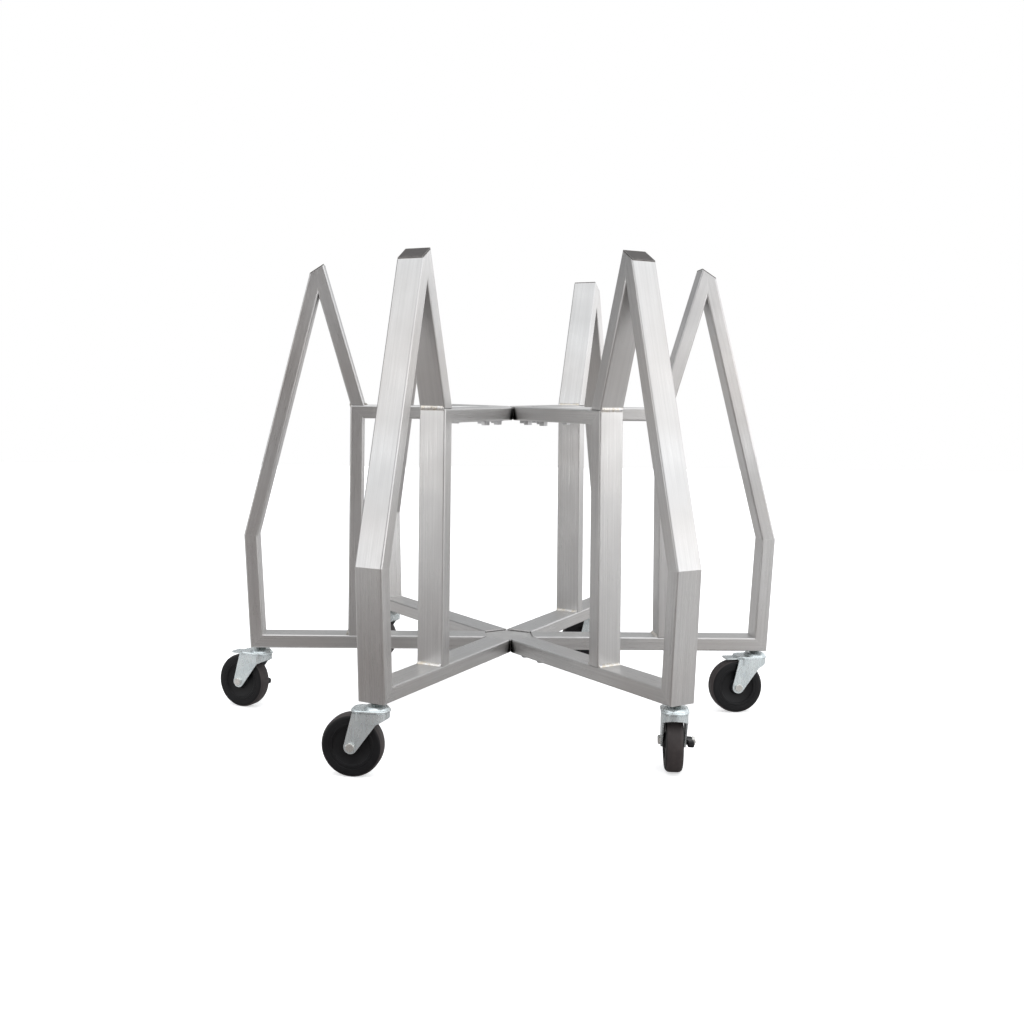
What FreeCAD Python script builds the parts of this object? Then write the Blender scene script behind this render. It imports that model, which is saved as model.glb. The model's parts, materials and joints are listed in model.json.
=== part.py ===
"""Drum dolly: six tubular frames bolted to two hub plates in a star, riding on six swivel casters.

The drum stands on the upper arms and the six leaning guides centre it as it is lowered in.
Millimetres, +Z up. The origin is the centre of the upper hub plate's top face, on the vertical
centre axis, and frame 1 lies along +X.
"""

import FreeCAD, Part
import math
import os

from FreeCAD import Vector

# ---- whole object ----
FRAME_COUNT = 6
FRAME_STEP = 360.0 / FRAME_COUNT
LOAD_HEIGHT = 120.0            # floor to the underside of the lower arms

# ---- rectangular tube, 2 x 1 inch, its wide side across the frame ----
TUBE_WIDE = 50.8
TUBE_THIN = 25.4
TUBE_WALL = 2.1
TUBE_CORNER = 3.2

# ---- one frame, as radius from the centre axis and height above the arm's underside ----
ARM_START_R = 44.8
OUTER_FOOT_R = 492.0
KINK_R = 506.5
KINK_Z = 214.9
TIP_OUTER_R = 387.0
TIP_OUTER_Z = 713.0
TIP_INNER_R = 361.5
TIP_INNER_Z = 730.3
INNER_POST_R = 282.0
UPPER_ARM_TOP = 463.0
GUIDE_SEAT_R = 280.6           # inner face of the inner guide where it stands on the upper arm
CAP_THICK = 2.0

# ---- weld beads ----
BEAD_LEG = 4.0
BEAD_BULGE = 0.33              # how far a corner bead's crest stands beyond its chord
SEAT_BEAD_PROUD = 1.0

# ---- hub plates and their bolts ----
HUB_THICK = 20.0
HUB_APOTHEM = 43.5
TONGUE_WIDE = 44.0
TONGUE_STEP = 0.5              # the tongues' tops are this much below the core's
TONGUE_END_R = 130.0
BOLT_RADII = (57.0, 107.0)
BOLT_SHANK_R = 4.70
BOLT_TAPPED_R = 4.75
BOLT_CLEAR_R = 5.2
BOLT_REACH = 20.0
BOLT_FLANGE_R = 10.0
BOLT_FLANGE_THICK = 1.6
BOLT_HEAD_FLATS = 14.3
BOLT_HEAD_THICK = 6.9
HEAD_TOP_INSET = 0.3           # a hexagon's top circle is this much inside its flats

# ---- casters, in their own axes: x trails, y is to the left of x, z from the arm's underside ----
STEM_CIRCLE_R = 475.0
STEM_R = 6.35
STEM_TOP = 16.0
STEM_COLLAR_R = 9.0
STEM_COLLAR_THICK = 2.0
STEM_HEAD_R = 9.0
STEM_HEAD_THICK = 3.4
STEM_TUBE_HOLE_R = 6.8
NUT_FLATS = 19.0
NUT_THICK = 10.0
RUNNING_GAP = 0.05             # radial clearance of every turning fit

CROWN_TOP = -6.0
CROWN_EDGE_TOP = -11.5
CROWN_RIM = -15.0
CROWN_HALF_WIDE = 22.5
CROWN_TAIL_X = 40.0
CROWN_TAIL_CORNER = 16.0
CROWN_EDGE_ROUND = 2.0
DOME_TOP_R = 12.5
DOME_CREST = (17.6, -7.4)      # radius and height the dome passes through between top and foot
DOME_FOOT_R = 21.0
RACE_GROOVE = 1.4              # open line between the cap's rim and the skirt
RACE_INSET = 4.0
SKIRT_INSET = 1.5
SKIRT_WALL = 3.0
SKIRT_POCKET_TOP = -18.0
SKIRT_NOSE_DEEP = 9.0
SKIRT_TAIL_DEEP = 10.0
LEG_OUTER_Y = 20.0
LEG_THICK = 2.5
LEG_FRONT_X = -3.0
LEG_FRONT_Z = -33.0
LEG_FRONT_FLAT = 12.0          # how far the skirt's lower edge runs level behind the leg's front
LEG_REAR_X = 36.0
LEG_END_R = 11.0
TAB_END_X = 60.0               # light tab over the wheel, on the casters that have a brake
TAB_HALF_WIDE = 13.0
TAB_THICK = 3.0
TAB_CORNER = 3.0

TRAIL = 38.0
AXLE_Z = -70.0
WHEEL_R = LOAD_HEIGHT + AXLE_Z
WHEEL_WIDE = 28.0
WHEEL_SHOULDER = 7.0
WHEEL_CLEARANCE = 1.5
CORE_R = 34.0
CORE_HUB_R = 13.0
CORE_HUB_WIDE = 33.5
CORE_RIM_WIDE = 27.0
CORE_WEB_WIDE = 22.0
CORE_WEB_INNER_R = 15.0
CORE_WEB_OUTER_R = 30.0
CORE_RIM_INNER_R = 31.0
CORE_KEY_R = 36.5              # rib in the middle of the rim that locks the tyre
CORE_KEY_WIDE = 10.0
BUSHING_R = 6.35
AXLE_R = 4.0
AXLE_HEAD_FLATS = 13.0
AXLE_HEAD_THICK = 4.6
AXLE_NUT_THICK = 4.5
AXLE_END_BEYOND_NUT = 1.0

LEVER_GAP = 0.6
LEVER_THICK = 9.5
LEVER_BOSS_R = 6.8
LEVER_REACH = 42.0
LEVER_HALF_WIDE = 5.5
LEVER_TIP_CORNER = 3.0
LEVER_NUT_GAP = 0.4

# Direction each caster trails, and the casters that carry a brake lever with its angle at rest,
# counted upward from the trailing direction: every lever rests off, pointing forward.
CASTER_HEADINGS = (185.5, 176.0, 150.0, 152.5, 169.0, 83.0)
BRAKE_LEVERS = {1: 172.0, 4: 186.0, 6: 172.0}

ORIGIN = Vector(0, 0, 0)
UP = Vector(0, 0, 1)
OVERRUN = 70.0                 # length a tube is drawn past its ends before the mitres are cut
NEARLY_ONE = 0.99              # cosine above which an edge counts as parallel


# ---- plane geometry in the frame's own (radius, height) plane ----
def point(radius, height):
    return Vector(radius, 0, height)


def unit(start, end):
    return (end - start).normalize()


def left_of(direction):
    return Vector(-direction.z, 0, direction.x)


def meet(point_a, direction_a, point_b, direction_b):
    """Where two lines of the frame's plane cross."""
    across = left_of(direction_b)
    distance = (point_b - point_a).dot(across) / direction_a.dot(across)
    return point_a + direction_a * distance


def frame_corners():
    """Every corner of one frame, named by its joint; 'inner' is the side nearer the drum."""
    outer_foot = point(OUTER_FOOT_R, 0)
    outer_kink = point(KINK_R, KINK_Z)
    tip_outer = point(TIP_OUTER_R, TIP_OUTER_Z)
    tip_inner = point(TIP_INNER_R, TIP_INNER_Z)
    seat_inner = point(GUIDE_SEAT_R, UPPER_ARM_TOP)
    level = Vector(1, 0, 0)

    post = unit(outer_foot, outer_kink)
    outer_guide = unit(outer_kink, tip_outer)
    inner_guide = unit(seat_inner, tip_inner)
    post_inside = outer_foot + left_of(post) * TUBE_THIN
    guide_inside = outer_kink + left_of(outer_guide) * TUBE_THIN
    guide_outside = seat_inner - left_of(inner_guide) * TUBE_THIN
    crotch = meet(guide_inside, outer_guide, guide_outside, inner_guide)

    cap_line = unit(tip_outer, tip_inner)
    cap_drop = left_of(cap_line) * CAP_THICK
    mitre = outer_guide + inner_guide
    return {
        "outer_foot": outer_foot,
        "inner_foot": meet(point(0, TUBE_THIN), level, post_inside, post),
        "outer_kink": outer_kink,
        "inner_kink": meet(post_inside, post, guide_inside, outer_guide),
        "tip_outer": tip_outer,
        "tip_inner": tip_inner,
        "cut_outer": meet(outer_kink, outer_guide, tip_outer + cap_drop, cap_line),
        "cut_inner": meet(seat_inner, inner_guide, tip_inner + cap_drop, cap_line),
        "mitre_top": meet(crotch, mitre, tip_outer + cap_drop, cap_line),
        "crotch": crotch,
        "seat_inner": seat_inner,
        "seat_outer": meet(seat_inner, level, guide_outside, inner_guide),
    }


CORNERS = frame_corners()
POST_OUTER_R = INNER_POST_R + TUBE_THIN
UPPER_ARM_BOTTOM = UPPER_ARM_TOP - TUBE_THIN
ORIGIN_HEIGHT = UPPER_ARM_BOTTOM + TUBE_WALL + HUB_THICK    # above the lower arms' underside


# ---- solids shared by several parts ----
def prism_across(corners, wide):
    """Outline of the frame's plane, given thickness evenly to both sides."""
    return spread_across(Part.makePolygon(list(corners) + [corners[0]]), wide)


def spread_across(outline, wide):
    face = Part.Face(outline)
    face.translate(Vector(0, -wide / 2, 0))
    return face.extrude(Vector(0, wide, 0))


def edges_along(shape, axis, beyond_x=-math.inf):
    """Straight edges that run along an axis and lie farther out than beyond_x."""
    return [
        e for e in shape.Edges
        if abs(e.tangentAt(e.FirstParameter).dot(axis)) > NEARLY_ONE and e.CenterOfMass.x > beyond_x
    ]


def rounded_bar(length, wide, thin, corner):
    bar = Part.makeBox(length, wide, thin, Vector(0, -wide / 2, 0))
    return bar.makeFillet(corner, edges_along(bar, Vector(1, 0, 0)))


def mitred_tube(*corners):
    """Rectangular tube cut to an outline; its first side is a face with the tube on its left."""
    start, end = corners[0], corners[1]
    length = start.distanceToPoint(end) + 2 * OVERRUN
    tube = rounded_bar(length, TUBE_WIDE, TUBE_THIN, TUBE_CORNER)
    hollow = rounded_bar(
        length, TUBE_WIDE - 2 * TUBE_WALL, TUBE_THIN - 2 * TUBE_WALL, TUBE_CORNER - TUBE_WALL
    )
    hollow.translate(Vector(0, 0, TUBE_WALL))
    tube = tube.cut(hollow)
    direction = unit(start, end)
    slope = math.degrees(math.atan2(direction.z, direction.x))
    tube.translate(Vector(-OVERRUN, 0, 0))
    tube.rotate(ORIGIN, Vector(0, -1, 0), slope)
    tube.translate(start)
    return tube.common(prism_across(corners, 2 * TUBE_WIDE))


def hexagon_prism(across_flats, thick):
    """Six-sided prism standing on z = 0, flats facing x."""
    radius = across_flats / math.sqrt(3)
    turns = [math.radians(30 + 60 * i) for i in range(7)]
    outline = [Vector(radius * math.cos(a), radius * math.sin(a), 0) for a in turns]
    return Part.Face(Part.makePolygon(outline)).extrude(Vector(0, 0, thick))


def hexagon_head(across_flats, thick):
    """Hexagon with its top corners chamfered, standing on z = 0."""
    cone_top = across_flats / 2 - HEAD_TOP_INSET
    cone_foot = cone_top + thick * math.sqrt(3)
    cone = Part.makeCone(cone_foot, cone_top, thick)
    return hexagon_prism(across_flats, thick).common(cone)


def turned_to_frame(shape, number):
    turned = shape.copy()
    turned.rotate(ORIGIN, UP, FRAME_STEP * (number - 1))
    return turned


def from_origin(shape):
    """Lower a shape drawn from the arms' underside so that heights count from the origin."""
    lowered = shape.copy()
    lowered.translate(Vector(0, 0, -ORIGIN_HEIGHT))
    return lowered


def all_frames(shape):
    """One copy of a piece in each of the six frames."""
    return Part.makeCompound([turned_to_frame(shape, n) for n in range(1, FRAME_COUNT + 1)])


# ---- frame members ----
def bolt_holes(shape, arm_bottom):
    for radius in BOLT_RADII:
        hole = Part.makeCylinder(BOLT_CLEAR_R, 3 * TUBE_WALL, Vector(radius, 0, arm_bottom - TUBE_WALL))
        shape = shape.cut(hole)
    return shape


def lower_arm():
    arm = mitred_tube(
        point(ARM_START_R, 0),
        CORNERS["outer_foot"],
        CORNERS["inner_foot"],
        point(ARM_START_R, TUBE_THIN),
    )
    stem_hole = Part.makeCylinder(
        STEM_TUBE_HOLE_R, 3 * TUBE_WALL, Vector(STEM_CIRCLE_R, 0, -TUBE_WALL)
    )
    return bolt_holes(arm.cut(stem_hole), 0)


def upper_arm():
    """Upper arm. Its top is parted at the guide's weld: the clear part that takes the drum is a face."""
    arm = mitred_tube(
        point(ARM_START_R, UPPER_ARM_BOTTOM),
        point(INNER_POST_R, UPPER_ARM_BOTTOM),
        point(POST_OUTER_R, UPPER_ARM_TOP),
        point(ARM_START_R, UPPER_ARM_TOP),
    )
    clear_end = GUIDE_SEAT_R - BEAD_LEG
    flat_half = TUBE_WIDE / 2 - TUBE_CORNER
    weld_toe = Part.makeLine(
        Vector(clear_end, -flat_half, UPPER_ARM_TOP), Vector(clear_end, flat_half, UPPER_ARM_TOP)
    )
    parted = bolt_holes(arm, UPPER_ARM_BOTTOM).generalFuse([weld_toe])[0]
    return parted.Solids[0]


def outer_post():
    return mitred_tube(
        CORNERS["outer_foot"], CORNERS["outer_kink"], CORNERS["inner_kink"], CORNERS["inner_foot"]
    )


def inner_post():
    return mitred_tube(
        point(INNER_POST_R, UPPER_ARM_BOTTOM),
        point(INNER_POST_R, TUBE_THIN),
        point(POST_OUTER_R, TUBE_THIN),
        point(POST_OUTER_R, UPPER_ARM_TOP),
    )


def outer_guide():
    return mitred_tube(
        CORNERS["outer_kink"],
        CORNERS["cut_outer"],
        CORNERS["mitre_top"],
        CORNERS["crotch"],
        CORNERS["inner_kink"],
    )


def inner_guide():
    return mitred_tube(
        CORNERS["cut_inner"],
        CORNERS["seat_inner"],
        CORNERS["seat_outer"],
        CORNERS["crotch"],
        CORNERS["mitre_top"],
    )


def apex_cap():
    """Flat plate closing both guides at the apex."""
    outline = [CORNERS[n] for n in ("cut_outer", "tip_outer", "tip_inner", "cut_inner")]
    return prism_across(outline, TUBE_WIDE - TUBE_CORNER)


def bead(start, crest, end, *corners):
    """Weld bead along a joint: it spans from start to end over its crest and fills the corners."""
    edges = [Part.Arc(start, crest, end).toShape()]
    rest = [end] + list(corners) + [start]
    edges += [Part.makeLine(a, b) for a, b in zip(rest, rest[1:])]
    return spread_across(Part.Wire(edges), TUBE_WIDE - 2 * TUBE_CORNER)


def corner_bead(corner, along, up):
    """Bead of equal legs in the corner between a level face and a rising one."""
    start = corner + along * BEAD_LEG
    end = corner + up * BEAD_LEG
    crest = (start + end) * 0.5 + (along + up).normalize() * BEAD_BULGE
    return bead(start, crest, end, corner)


def frame_beads():
    """Beads at the inner post's foot, and round the inner guide's seat on the upper arm."""
    inward, outward = Vector(-1, 0, 0), Vector(1, 0, 0)
    guide = unit(CORNERS["seat_inner"], CORNERS["tip_inner"])
    edge = point(POST_OUTER_R, UPPER_ARM_TOP)
    below = edge - UP * BEAD_LEG
    above = CORNERS["seat_outer"] + guide * BEAD_LEG
    return Part.makeCompound([
        corner_bead(point(INNER_POST_R, TUBE_THIN), inward, UP),
        corner_bead(point(POST_OUTER_R, TUBE_THIN), outward, UP),
        corner_bead(CORNERS["seat_inner"], inward, guide),
        bead(below, edge + outward * SEAT_BEAD_PROUD, above, CORNERS["seat_outer"], edge),
    ])


# ---- hub plates and bolts ----
def hub_plate(arm_bottom):
    """Hexagonal core with six tongues that slide into the arms and rest on their lower walls."""
    plate = hexagon_prism(2 * HUB_APOTHEM, HUB_THICK)
    tongue = Part.makeBox(
        TONGUE_END_R, TONGUE_WIDE, HUB_THICK - TONGUE_STEP, Vector(0, -TONGUE_WIDE / 2, 0)
    )
    for radius in BOLT_RADII:
        tongue = tongue.cut(Part.makeCylinder(BOLT_TAPPED_R, HUB_THICK, Vector(radius, 0, 0)))
    for number in range(1, FRAME_COUNT + 1):
        plate = plate.fuse(turned_to_frame(tongue, number))
    plate = plate.removeSplitter()
    plate.translate(Vector(0, 0, arm_bottom + TUBE_WALL))
    return plate


def flange_bolt():
    """Bolt driven upward; its flange bears on z = 0 from below."""
    shank = Part.makeCylinder(BOLT_SHANK_R, BOLT_REACH)
    flange = Part.makeCylinder(BOLT_FLANGE_R, BOLT_FLANGE_THICK, Vector(0, 0, -BOLT_FLANGE_THICK))
    head = hexagon_head(BOLT_HEAD_FLATS, BOLT_HEAD_THICK)
    head.rotate(ORIGIN, Vector(1, 0, 0), 180)
    head.translate(Vector(0, 0, -BOLT_FLANGE_THICK))
    return shank.fuse([flange, head]).removeSplitter()


def hub_bolts():
    bolts = []
    for arm_bottom in (0, UPPER_ARM_BOTTOM):
        for radius in BOLT_RADII:
            placed = flange_bolt()
            placed.translate(Vector(radius, 0, arm_bottom))
            bolts.append(placed)
    return all_frames(Part.makeCompound(bolts))


# ---- caster pieces, each in the caster's own axes ----
def caster_stem():
    """Threaded stem with the collar the fork carries and the riveted head that keeps it on."""
    collar_bottom = CROWN_TOP + RUNNING_GAP
    head_top = SKIRT_POCKET_TOP - RUNNING_GAP
    shank_bottom = head_top - STEM_HEAD_THICK
    shank = Part.makeCylinder(STEM_R, STEM_TOP - shank_bottom, Vector(0, 0, shank_bottom))
    collar = Part.makeCylinder(STEM_COLLAR_R, STEM_COLLAR_THICK, Vector(0, 0, collar_bottom))
    head = Part.makeCylinder(STEM_HEAD_R, STEM_HEAD_THICK, Vector(0, 0, shank_bottom))
    return shank.fuse([collar, head]).removeSplitter()


def stem_nut():
    nut = hexagon_prism(NUT_FLATS, NUT_THICK)
    nut = nut.cut(Part.makeCylinder(STEM_R + RUNNING_GAP, NUT_THICK))
    nut.translate(Vector(0, 0, TUBE_WALL))
    return nut


def crown_outline(inset, bottom, top):
    """Round-nosed plate, nose forward and square tail behind with rounded corners."""
    half = CROWN_HALF_WIDE - inset
    tail = CROWN_TAIL_X - inset
    body = Part.makeBox(tail, 2 * half, top - bottom, Vector(0, -half, bottom))
    body = body.makeFillet(CROWN_TAIL_CORNER - inset, edges_along(body, UP, tail / 2))
    nose = Part.makeCylinder(half, top - bottom, Vector(0, 0, bottom))
    return body.fuse(nose).removeSplitter()


def crown_cap():
    """Edge plate with a rounded rim and the round dome over the stem's ball race."""
    plate = crown_outline(0, CROWN_RIM, CROWN_EDGE_TOP)
    middle = (CROWN_RIM + CROWN_EDGE_TOP) / 2
    top_edges = [e for e in plate.Edges if e.BoundBox.ZMin > middle]
    plate = plate.makeFillet(CROWN_EDGE_ROUND, top_edges)
    shoulder = point(DOME_TOP_R, CROWN_TOP)
    foot = point(DOME_FOOT_R, CROWN_EDGE_TOP)
    below = point(DOME_FOOT_R, CROWN_RIM)
    sweep = [
        Part.makeLine(point(0, CROWN_TOP), shoulder),
        Part.Arc(shoulder, point(*DOME_CREST), foot).toShape(),
        Part.makePolygon([foot, below, point(0, CROWN_RIM), point(0, CROWN_TOP)]),
    ]
    dome = Part.Face(Part.Wire(sweep)).revolve(ORIGIN, UP, 360)
    return plate.fuse(dome)


def crown_skirt():
    """Band under the cap's race line, its lower edge sweeping from the nose down to the legs."""
    profile = [
        point(-CROWN_HALF_WIDE, CROWN_RIM),
        point(-CROWN_HALF_WIDE, CROWN_RIM - SKIRT_NOSE_DEEP),
        point(LEG_FRONT_X, LEG_FRONT_Z),
        point(LEG_FRONT_X + LEG_FRONT_FLAT, LEG_FRONT_Z),
        point(CROWN_TAIL_X, CROWN_RIM - SKIRT_TAIL_DEEP),
        point(CROWN_TAIL_X, CROWN_RIM),
    ]
    neck = crown_outline(RACE_INSET, CROWN_RIM - RACE_GROOVE, CROWN_RIM)
    skirt = crown_outline(SKIRT_INSET, LEG_FRONT_Z, CROWN_RIM - RACE_GROOVE)
    pocket = crown_outline(SKIRT_INSET + SKIRT_WALL, LEG_FRONT_Z, SKIRT_POCKET_TOP)
    return skirt.common(prism_across(profile, 2 * CROWN_HALF_WIDE)).cut(pocket).fuse(neck)


def fork_legs():
    """Two legs whose straight edges run tangent to the round end about the axle."""
    axle = point(TRAIL, AXLE_Z)
    front = point(LEG_FRONT_X, LEG_FRONT_Z)
    rear = point(LEG_REAR_X, CROWN_RIM - RACE_GROOVE)
    profile = [
        point(LEG_FRONT_X, CROWN_RIM - RACE_GROOVE),
        front,
        tangent_point(front, axle, LEG_END_R, -1),
        tangent_point(rear, axle, LEG_END_R, 1),
        rear,
    ]
    slab = 2 * LEG_OUTER_Y
    legs = prism_across(profile, slab).fuse(axle_cylinder(LEG_END_R, -LEG_OUTER_Y, slab))
    inside = slab - 2 * LEG_THICK
    clear = 4 * WHEEL_R
    between = Part.makeBox(clear, inside, clear, Vector(-clear / 2, -inside / 2, CROWN_RIM - clear))
    return legs.cut(between)


def brake_tab():
    """Flat tab that runs back from the crown over the wheel."""
    start = CROWN_TAIL_X - SKIRT_INSET - SKIRT_WALL
    tab = Part.makeBox(
        TAB_END_X - start, 2 * TAB_HALF_WIDE, TAB_THICK,
        Vector(start, -TAB_HALF_WIDE, CROWN_RIM - TAB_THICK),
    )
    return tab.makeFillet(TAB_CORNER, edges_along(tab, UP, CROWN_TAIL_X))


def fork(has_brake):
    """Pressed fork: domed crown over a skirt, with two legs sweeping back to the axle."""
    shape = crown_cap().fuse([crown_skirt(), fork_legs()])
    if has_brake:
        shape = shape.fuse(brake_tab())
    shape = shape.cut(axle_cylinder(WHEEL_R + WHEEL_CLEARANCE, LEG_THICK - LEG_OUTER_Y,
                                    2 * (LEG_OUTER_Y - LEG_THICK)))
    stem_bore = Part.makeCylinder(STEM_R + RUNNING_GAP, -AXLE_Z, Vector(0, 0, AXLE_Z))
    axle_bore = axle_cylinder(AXLE_R + RUNNING_GAP, -2 * LEG_OUTER_Y, 4 * LEG_OUTER_Y)
    return shape.cut(stem_bore).cut(axle_bore).removeSplitter()


def tangent_point(start, centre, radius, side):
    """Where the line from start touches the circle on its left (1) or right (-1)."""
    to_centre = centre - start
    distance = to_centre.Length
    reach = math.sqrt(distance ** 2 - radius ** 2)
    swing = side * math.asin(radius / distance)
    direction = unit(start, centre)
    turned = direction * math.cos(swing) + left_of(direction) * math.sin(swing)
    return start + turned * reach


def axle_cylinder(radius, start_y, length):
    """Cylinder about the axle line, from start_y toward +y."""
    return Part.makeCylinder(radius, length, Vector(TRAIL, start_y, AXLE_Z), Vector(0, 1, 0))


def on_axle(shape, start_y, outward):
    """Put a piece standing on z = 0 onto the axle line, growing toward +y (1) or -y (-1)."""
    placed = shape.copy()
    placed.rotate(ORIGIN, Vector(1, 0, 0), -90 * outward)
    placed.translate(Vector(TRAIL, start_y, AXLE_Z))
    return placed


def axle_set(has_lever):
    """Bolt through both legs, its nut, and the bushing the wheel turns on."""
    nut_face = -LEG_OUTER_Y
    if has_lever:
        nut_face -= LEVER_GAP + LEVER_THICK + LEVER_NUT_GAP
    bolt_end = nut_face - AXLE_NUT_THICK - AXLE_END_BEYOND_NUT
    bolt = axle_cylinder(AXLE_R, bolt_end, LEG_OUTER_Y - bolt_end)
    bolt = bolt.fuse(on_axle(hexagon_head(AXLE_HEAD_FLATS, AXLE_HEAD_THICK), LEG_OUTER_Y, 1))
    nut = on_axle(hexagon_head(AXLE_HEAD_FLATS, AXLE_NUT_THICK), nut_face, -1)
    nut = nut.cut(axle_cylinder(AXLE_R + RUNNING_GAP, bolt_end, -bolt_end))
    inside = LEG_OUTER_Y - LEG_THICK
    bushing = axle_cylinder(BUSHING_R, -inside, 2 * inside)
    bushing = bushing.cut(axle_cylinder(AXLE_R + RUNNING_GAP, -inside, 2 * inside))
    return Part.makeCompound([bolt.removeSplitter(), nut, bushing])


def revolved_about_axle(outline):
    """Turn (radius, sideways) points about the axle line."""
    corners = [Vector(radius, 0, side) for radius, side in outline]
    face = Part.Face(Part.makePolygon(corners + [corners[0]]))
    solid = face.revolve(ORIGIN, UP, 360)
    return on_axle(solid, 0, 1)


def tyre():
    ring = axle_cylinder(WHEEL_R, -WHEEL_WIDE / 2, WHEEL_WIDE)
    shoulders = [e for e in ring.Edges if len(e.Vertexes) == 1]
    ring = ring.makeFillet(WHEEL_SHOULDER, shoulders)
    ring = ring.cut(axle_cylinder(CORE_R, -WHEEL_WIDE, 2 * WHEEL_WIDE))
    return ring.cut(axle_cylinder(CORE_KEY_R, -CORE_KEY_WIDE / 2, CORE_KEY_WIDE))


def wheel_core():
    """Broad hub, thinner web and a rim the tyre is moulded over."""
    half_hub = CORE_HUB_WIDE / 2
    half_rim = CORE_RIM_WIDE / 2
    half_web = CORE_WEB_WIDE / 2
    half_key = CORE_KEY_WIDE / 2
    bore = BUSHING_R + RUNNING_GAP
    side = [
        (bore, half_hub),
        (CORE_HUB_R, half_hub),
        (CORE_WEB_INNER_R, half_web),
        (CORE_WEB_OUTER_R, half_web),
        (CORE_RIM_INNER_R, half_rim),
        (CORE_R, half_rim),
        (CORE_R, half_key),
        (CORE_KEY_R, half_key),
    ]
    return revolved_about_axle(side + [(radius, -y) for radius, y in reversed(side)])


def brake_lever(angle):
    """Side lever on the axle's far end; drawn pointing along x, then turned to its angle."""
    boss = Part.makeCylinder(LEVER_BOSS_R, LEVER_THICK)
    arm = Part.makeBox(
        LEVER_REACH, 2 * LEVER_HALF_WIDE, LEVER_THICK, Vector(0, -LEVER_HALF_WIDE, 0)
    )
    arm = arm.makeFillet(LEVER_TIP_CORNER, edges_along(arm, UP, LEVER_REACH / 2))
    lever = boss.fuse(arm).removeSplitter()
    lever = lever.cut(Part.makeCylinder(AXLE_R + RUNNING_GAP, LEVER_THICK))
    lever.rotate(ORIGIN, UP, angle)
    return on_axle(lever, -LEG_OUTER_Y - LEVER_GAP, -1)


def caster_place(shape, number):
    """Turn a caster piece to its heading and carry it to its stem position under the arm."""
    placed = shape.copy()
    placed.rotate(ORIGIN, UP, CASTER_HEADINGS[number - 1])
    around = math.radians(FRAME_STEP * (number - 1))
    placed.translate(
        Vector(STEM_CIRCLE_R * math.cos(around), STEM_CIRCLE_R * math.sin(around), -ORIGIN_HEIGHT)
    )
    return placed


# ---- every node ----
def build():
    nodes = {}
    members = {
        "lower_arm": lower_arm(),
        "upper_arm": upper_arm(),
        "outer_post": outer_post(),
        "inner_post": inner_post(),
    }
    for name, member in members.items():
        for number in range(1, FRAME_COUNT + 1):
            nodes[f"{name}_{number}"] = from_origin(turned_to_frame(member, number))

    nodes["outer_guides"] = from_origin(all_frames(outer_guide()))
    nodes["inner_guides"] = from_origin(all_frames(inner_guide()))
    nodes["apex_caps"] = from_origin(all_frames(apex_cap()))
    nodes["weld_beads"] = from_origin(all_frames(frame_beads()))
    nodes["hub_lower"] = from_origin(hub_plate(0))
    nodes["hub_upper"] = from_origin(hub_plate(UPPER_ARM_BOTTOM))
    nodes["hub_bolts"] = from_origin(hub_bolts())

    numbers = range(1, FRAME_COUNT + 1)
    stem, nut = caster_stem(), stem_nut()
    nodes["caster_stems"] = Part.makeCompound([caster_place(stem, n) for n in numbers])
    nodes["stem_nuts"] = Part.makeCompound([caster_place(nut, n) for n in numbers])

    tyre_shape, core_shape = tyre(), wheel_core()
    for number in numbers:
        has_lever = number in BRAKE_LEVERS
        nodes[f"fork_{number}"] = caster_place(fork(has_lever), number)
        nodes[f"axle_{number}"] = caster_place(axle_set(has_lever), number)
        nodes[f"tyre_{number}"] = caster_place(tyre_shape, number)
        nodes[f"wheel_core_{number}"] = caster_place(core_shape, number)
    for number, angle in BRAKE_LEVERS.items():
        nodes[f"brake_lever_{number}"] = caster_place(brake_lever(angle), number)
    return nodes


os.makedirs("parts", exist_ok=True)
for node_name, node_shape in build().items():
    node_shape.exportStep(f"parts/{node_name}.step")
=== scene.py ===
"""Drum dolly of brushed stainless tube on six zinc-plated casters, in metres, in the part's frame."""

import json
import math
import random

import bmesh
import bpy
from mathutils import Matrix, Vector


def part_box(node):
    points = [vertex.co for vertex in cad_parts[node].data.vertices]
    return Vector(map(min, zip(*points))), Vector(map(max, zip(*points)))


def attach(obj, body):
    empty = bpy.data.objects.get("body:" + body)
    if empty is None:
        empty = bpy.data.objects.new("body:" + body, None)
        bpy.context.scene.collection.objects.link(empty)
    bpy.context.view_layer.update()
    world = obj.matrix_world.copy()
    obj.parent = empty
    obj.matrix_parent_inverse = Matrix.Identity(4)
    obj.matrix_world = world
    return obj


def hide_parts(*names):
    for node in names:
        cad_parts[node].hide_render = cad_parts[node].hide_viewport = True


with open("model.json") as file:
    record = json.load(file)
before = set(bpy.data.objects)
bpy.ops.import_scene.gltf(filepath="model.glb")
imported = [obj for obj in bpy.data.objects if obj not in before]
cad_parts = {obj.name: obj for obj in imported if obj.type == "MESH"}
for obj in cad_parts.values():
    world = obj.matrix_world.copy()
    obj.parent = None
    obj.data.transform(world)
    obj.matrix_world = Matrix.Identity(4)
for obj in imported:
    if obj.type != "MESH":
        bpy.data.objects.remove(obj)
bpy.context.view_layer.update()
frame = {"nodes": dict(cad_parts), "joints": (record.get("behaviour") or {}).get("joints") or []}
NODES = frame["nodes"]
JOINTS = {joint["name"]: joint for joint in frame["joints"]}
random.seed(7)

MM = 0.001
FRAME_COUNT = 6
FRAME_STEP = math.radians(360 / FRAME_COUNT)

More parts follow.
